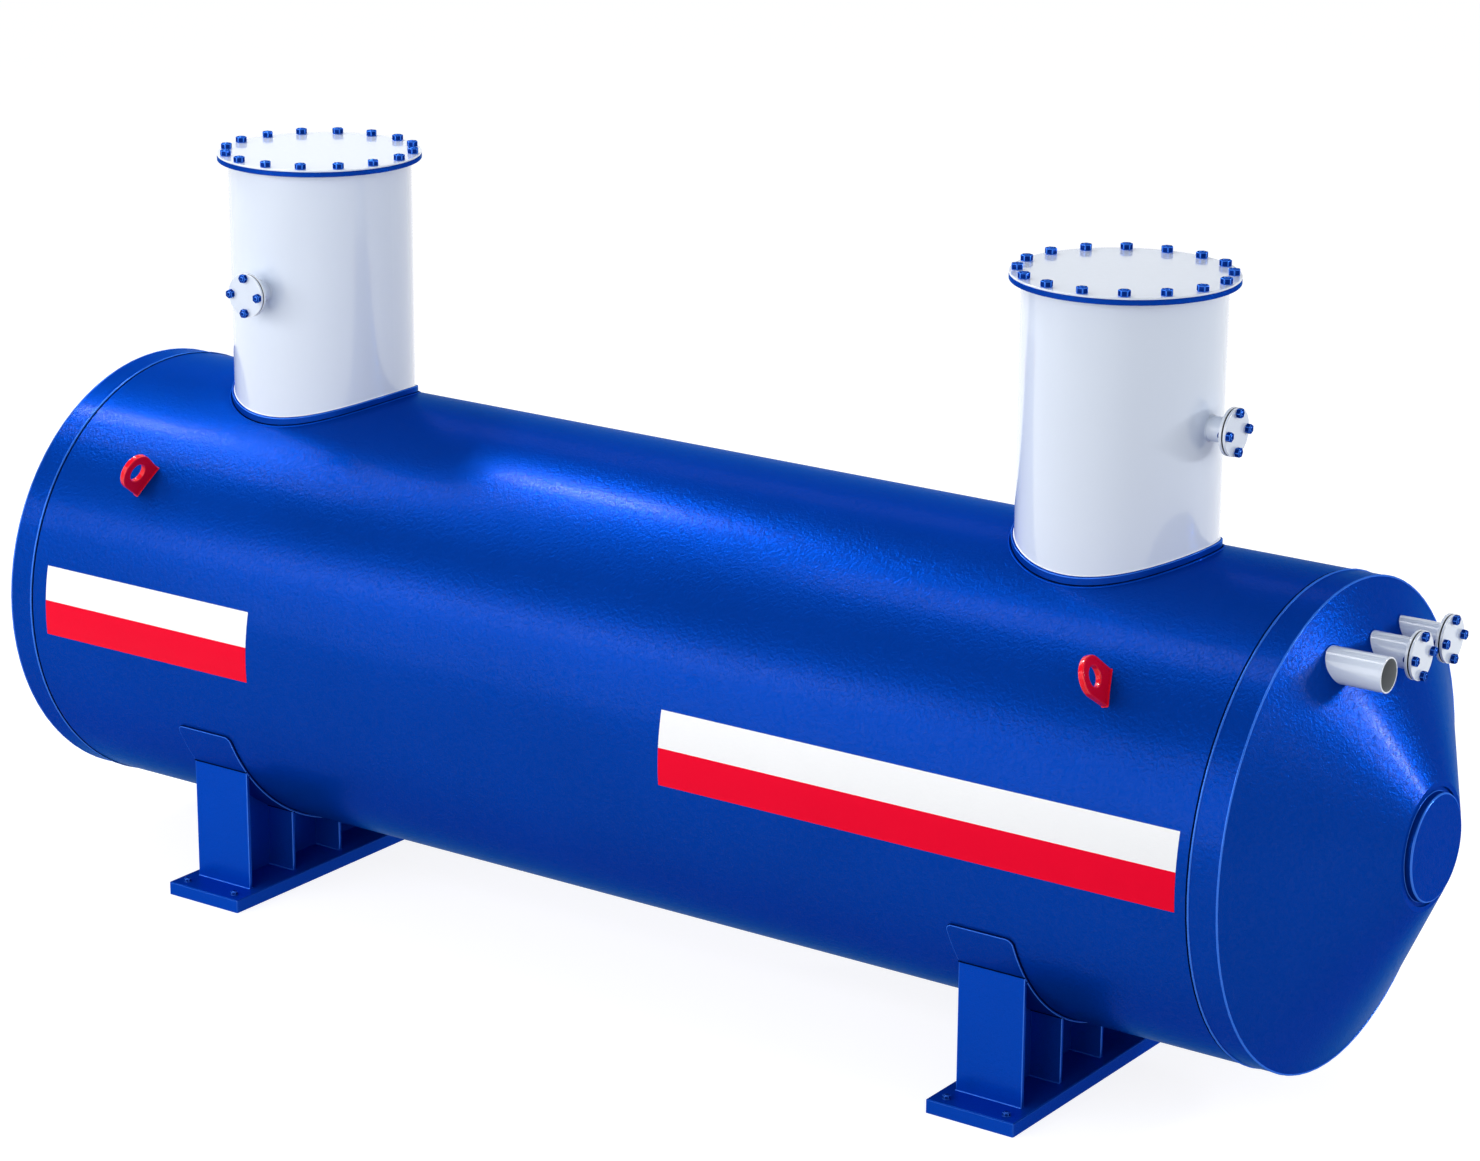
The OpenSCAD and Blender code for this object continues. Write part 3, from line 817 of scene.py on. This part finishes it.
for side, sign in zip(SIDES, (-1, 1)):
    neck_welds(side, sign)
    vent_welds(side, sign)
    end_welds(side, sign)
    saddle_welds(side)
row_welds()
bead_group("lug_welds", [lug_weld(f"{row}_{side}_lug") for row in ROWS for side in SIDES], "red_paint")


# Stripes

FILM = 0.7 * MM
FILM_WALL_SHARE = 0.6
STRIPE_SIDES = 720
RIM_FACING = 0.9
STRIPE_TOP, STRIPE_MIDDLE, STRIPE_BOTTOM = 13.29, 4.18, -5.07
SHORT_STRIPE = (-2.914, -1.706)
LONG_STRIPE = (0.538, 2.949)


def stripe(name, ends, low_deg, high_deg, front, colour):
    """A band of paint on the shell between two heights, in degrees above the axis."""
    x0, x1 = ends
    deselect()
    bpy.ops.mesh.primitive_cylinder_add(
        vertices=STRIPE_SIDES, radius=SHELL_R + FILM, depth=x1 - x0,
        location=((x0 + x1) / 2, 0, AXIS_Z), rotation=(0, math.pi / 2, 0),
    )
    band = bpy.context.object
    band.name = name
    apply_place(band)
    bpy.ops.object.mode_set(mode="EDIT")
    bpy.ops.mesh.select_mode(type="FACE")
    keep_faces_selected(lambda face: abs(face.normal.x) > RIM_FACING)
    bpy.ops.mesh.delete(type="ONLY_FACE")
    for deg, inner in ((low_deg, True), (high_deg, False)):
        a = math.radians(deg)
        bpy.ops.mesh.select_all(action="SELECT")
        bpy.ops.mesh.bisect(
            plane_co=(0, 0, AXIS_Z), plane_no=(0, -front * math.sin(a), math.cos(a)),
            clear_inner=inner, clear_outer=not inner,
        )
    bpy.ops.object.mode_set(mode="OBJECT")
    wall = band.modifiers.new("film", "SOLIDIFY")
    wall.thickness = FILM * FILM_WALL_SHARE
    wall.offset = -1
    bpy.ops.object.modifier_apply(modifier=wall.name)
    finish_piece(band, STRIPE_PAINTS[colour])


for row, front in zip(ROWS, (-1, 1)):
    for ends, length in ((SHORT_STRIPE, "short"), (LONG_STRIPE, "long")):
        for colour, low_deg, high_deg in (
            ("white", STRIPE_MIDDLE, STRIPE_TOP),
            ("red", STRIPE_BOTTOM, STRIPE_MIDDLE),
        ):
            stripe(f"{row}_{length}_{colour}_stripe", ends, low_deg, high_deg, front,
                   colour)


# Studio

FLOOR_SIZE, FLOOR_DROP = 160, 0.0005
FLOOR_GREY = (0.4, 0.4, 0.4, 1)
FLOOR_GLOW = (0.84, 0.84, 0.84, 1)
HORIZON_WHITE = (0.9, 0.91, 0.93, 1.0)
OVERHEAD_GREY = (0.3, 0.32, 0.36, 1.0)
FADE_LOW, FADE_HIGH = 0.12, 0.62
TANK_MIDDLE = (0, 0, AXIS_Z)
# Each lamp's name, place, point it faces, sides in metres, power in watts and what else it has
LAMPS = (
    ("top softbox", (-6.8, 0.1, 8.8), (-1.2, -0.5, 2.0), (5.8, 2.6), 275,
     {"long_way": (0.61, 0.79, 0.09)}),
    ("front softbox", (-2.5, -11.0, 5.0), TANK_MIDDLE, (16, 8), 740, {}),
    ("long softbox", (-6.2, -7.0, 5.3), (-0.5, -0.9, 1.6), (6, 1.4), 90, {}),
    ("end softbox", (10.6, 4.6, 4.0), (3.4, -0.2, 1.7), (1.8, 1.6), 85, {}),
    ("side softbox", (12.0, 0.5, 5.5), (1.5, -0.3, 1.8), (5, 5), 110, {}),
    ("streak lamp", (-5.5, 1.7, 9.1), (-0.2, -0.4, 2.1), (1.0, 0.8), 175, {}),
    ("left streak lamp", (-8.8, 0.0, 8.7), (-2.8, -0.5, 2.1), (1.0, 0.8), 1.1, {"spread": 16}),
    ("right softbox", (-1.7, -1.2, 9.9), (2.2, -0.5, 2.0), (4.0, 1.8), 12, {"spread": 60}),
    ("back softbox", (-3.8, 6.4, 7.6), (0.3, 0, 2.2), (9.0, 1.8), 75, {}),
    ("cone lamp", (10.0, 5.55, 3.75), (3.43, -0.16, 1.62), (0.7, 0.7), 160, {}),
)


def see_white(links, nodes, ray, factor):
    """Drives a factor to one for rays from the camera and for mirrored or clear paths."""
    ways = ("Is Camera Ray", "Is Glossy Ray", "Is Transmission Ray")
    best = ray.outputs[ways[0]]
    for way in ways[1:]:
        most = nodes.new("ShaderNodeMath")
        most.operation = "MAXIMUM"
        links.new(best, most.inputs[0])
        links.new(ray.outputs[way], most.inputs[1])
        best = most.outputs[0]
    links.new(best, factor)


def studio_floor():
    """Pale floor that shows white where no shadow falls."""
    deselect()
    bpy.ops.mesh.primitive_plane_add(size=FLOOR_SIZE, location=(0, 0, -FLOOR_DROP))
    floor = bpy.context.object
    floor.name = "studio_floor"
    material = bpy.data.materials.new("studio floor")
    material.use_nodes = True
    nodes, links = material.node_tree.nodes, material.node_tree.links
    nodes.clear()
    ray = nodes.new("ShaderNodeLightPath")
    diffuse = nodes.new("ShaderNodeBsdfDiffuse")
    diffuse.inputs["Color"].default_value = FLOOR_GREY
    glow = nodes.new("ShaderNodeEmission")
    glow.inputs["Color"].default_value = FLOOR_GLOW
    add = nodes.new("ShaderNodeAddShader")
    mix = nodes.new("ShaderNodeMixShader")
    out = nodes.new("ShaderNodeOutputMaterial")
    see_white(links, nodes, ray, mix.inputs["Fac"])
    links.new(diffuse.outputs[0], add.inputs[0])
    links.new(glow.outputs[0], add.inputs[1])
    links.new(diffuse.outputs[0], mix.inputs[1])
    links.new(add.outputs[0], mix.inputs[2])
    links.new(mix.outputs[0], out.inputs["Surface"])
    floor.data.materials.append(material)


def studio_world():
    """Surroundings that are white near the ground and darker overhead."""
    world = bpy.data.worlds.new("studio")
    bpy.context.scene.world = world
    world.use_nodes = True
    nodes, links = world.node_tree.nodes, world.node_tree.links
    nodes.clear()
    place = nodes.new("ShaderNodeTexCoord")
    height = nodes.new("ShaderNodeSeparateXYZ")
    fade = nodes.new("ShaderNodeMapRange")
    fade.interpolation_type = "SMOOTHSTEP"
    fade.inputs["From Min"].default_value = FADE_LOW
    fade.inputs["From Max"].default_value = FADE_HIGH
    shade = nodes.new("ShaderNodeMix")
    shade.data_type = "RGBA"
    shade.inputs[COLOUR_A].default_value = HORIZON_WHITE
    shade.inputs[COLOUR_B].default_value = OVERHEAD_GREY
    sky = nodes.new("ShaderNodeBackground")
    out = nodes.new("ShaderNodeOutputWorld")
    links.new(place.outputs["Generated"], height.inputs["Vector"])
    links.new(height.outputs["Z"], fade.inputs["Value"])
    links.new(fade.outputs["Result"], shade.inputs["Factor"])
    links.new(shade.outputs[COLOUR_OUT], sky.inputs["Color"])
    links.new(sky.outputs[0], out.inputs["Surface"])


def softbox(name, place, target, size, power, long_way=ALONG, spread=180):
    """A rectangular lamp that faces a point, with its first side as near the long way as it can be."""
    data = bpy.data.lights.new(name, "AREA")
    data.shape = "RECTANGLE"
    data.size, data.size_y = size
    data.energy = power
    data.spread = math.radians(spread)
    lamp = bpy.data.objects.new(name, data)
    back = (Vector(place) - Vector(target)).normalized()
    across = (Vector(long_way) - back * back.dot(Vector(long_way))).normalized()
    turn = Matrix((across, back.cross(across), back)).transposed()
    lamp.matrix_world = Matrix.Translation(place) @ turn.to_4x4()
    bpy.context.scene.collection.objects.link(lamp)


def photo_camera():
    """The camera at the photograph's place and angle."""
    yaw, pitch, roll = CAMERA_YAW, CAMERA_PITCH, CAMERA_ROLL
    forward = Vector((
        -math.sin(yaw) * math.cos(pitch), math.cos(yaw) * math.cos(pitch), -math.sin(pitch)
    ))
    right = forward.cross(Vector(UP)).normalized()
    up = right.cross(forward)
    right, up = (
        math.cos(roll) * right + math.sin(roll) * up,
        math.cos(roll) * up - math.sin(roll) * right,
    )
    turn = Matrix((right, up, -forward)).transposed()
    data = bpy.data.cameras.new("photo camera")
    data.sensor_width = SENSOR_W
    data.lens = SENSOR_W * FOCAL_PIXELS / IMAGE_W
    data.clip_end = CAMERA_REACH
    camera = bpy.data.objects.new("photo camera", data)
    camera.matrix_world = Matrix.Translation(CAMERA_PLACE) @ turn.to_4x4()
    bpy.context.scene.collection.objects.link(camera)
    bpy.context.scene.camera = camera


studio_floor()
studio_world()
for name, place, target, size, power, more in LAMPS:
    softbox(name, place, target, size, power, **more)
photo_camera()
bpy.context.scene.view_settings.view_transform = "Standard"
